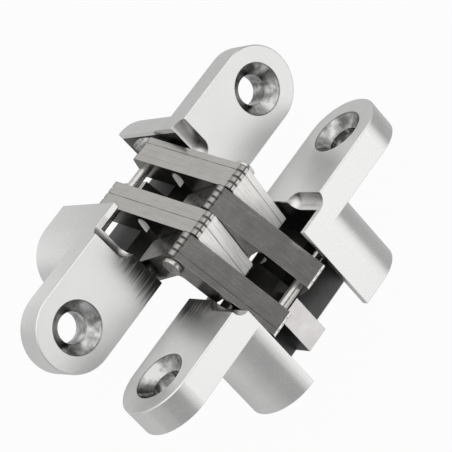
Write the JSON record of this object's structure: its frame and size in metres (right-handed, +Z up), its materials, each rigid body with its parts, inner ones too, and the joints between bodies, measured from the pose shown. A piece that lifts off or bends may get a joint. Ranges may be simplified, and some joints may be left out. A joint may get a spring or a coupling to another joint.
{
  "type": "table leaf hinge",
  "caption": "Concealed leaf hinge: slim round-ended castings with countersunk screw holes, joined by crossed stacks of bent steel links that fold inside when shut.",
  "frame": {"origin": "centre of the footprint, on the plane the casings' lower edges stand on", "axes": "+Y along the hinge axis, +Z up the plane midway between the casings, +X from the fixed casing towards the swing casing"},
  "size_m": [0.0476, 0.0606, 0.0227],
  "materials": {
    "casting": "satin brushed plate over die casting",
    "link_steel": "bright stamped steel",
    "pin_steel": "ground steel"
  },
  "bodies": {
    "fixed_casing": {"fixed_casing": "casting", "fixed_pivot_pin": "pin_steel"},
    "link_b": {"link_b_inner_stack": "link_steel", "link_b_outer_stack": "link_steel", "swing_guide_pin": "pin_steel", "centre_pin": "pin_steel"},
    "link_a": {"link_a_inner_stack": "link_steel", "link_a_outer_stack": "link_steel", "fixed_guide_pin": "pin_steel"},
    "swing_casing": {"swing_casing": "casting", "swing_pivot_pin": "pin_steel"}
  },
  "joints": [
    {"name": "fixed_pivot", "type": "hinge", "parent": "fixed_casing", "child": "link_b", "pos_m": [-0.00527, 0, 0.01247], "axis": [0, 1, 0], "range_deg": [-65.76, 60.91]},
    {"name": "link_cross", "type": "hinge", "parent": "link_b", "child": "link_a", "pos_m": [0, 0, 0.02029], "axis": [0, 1, 0], "range_deg": [-35.57, 38.37]},
    {"name": "swing_pivot", "type": "hinge", "parent": "link_a", "child": "swing_casing", "pos_m": [0.00527, 0, 0.01247], "axis": [0, 1, 0], "range_deg": [-66.06, 61.22]}
  ],
  "couplings": [
    {"joint": "link_cross", "follows": "fixed_pivot", "ratio": -0.579},
    {"joint": "swing_pivot", "follows": "fixed_pivot", "ratio": 1}
  ]
}
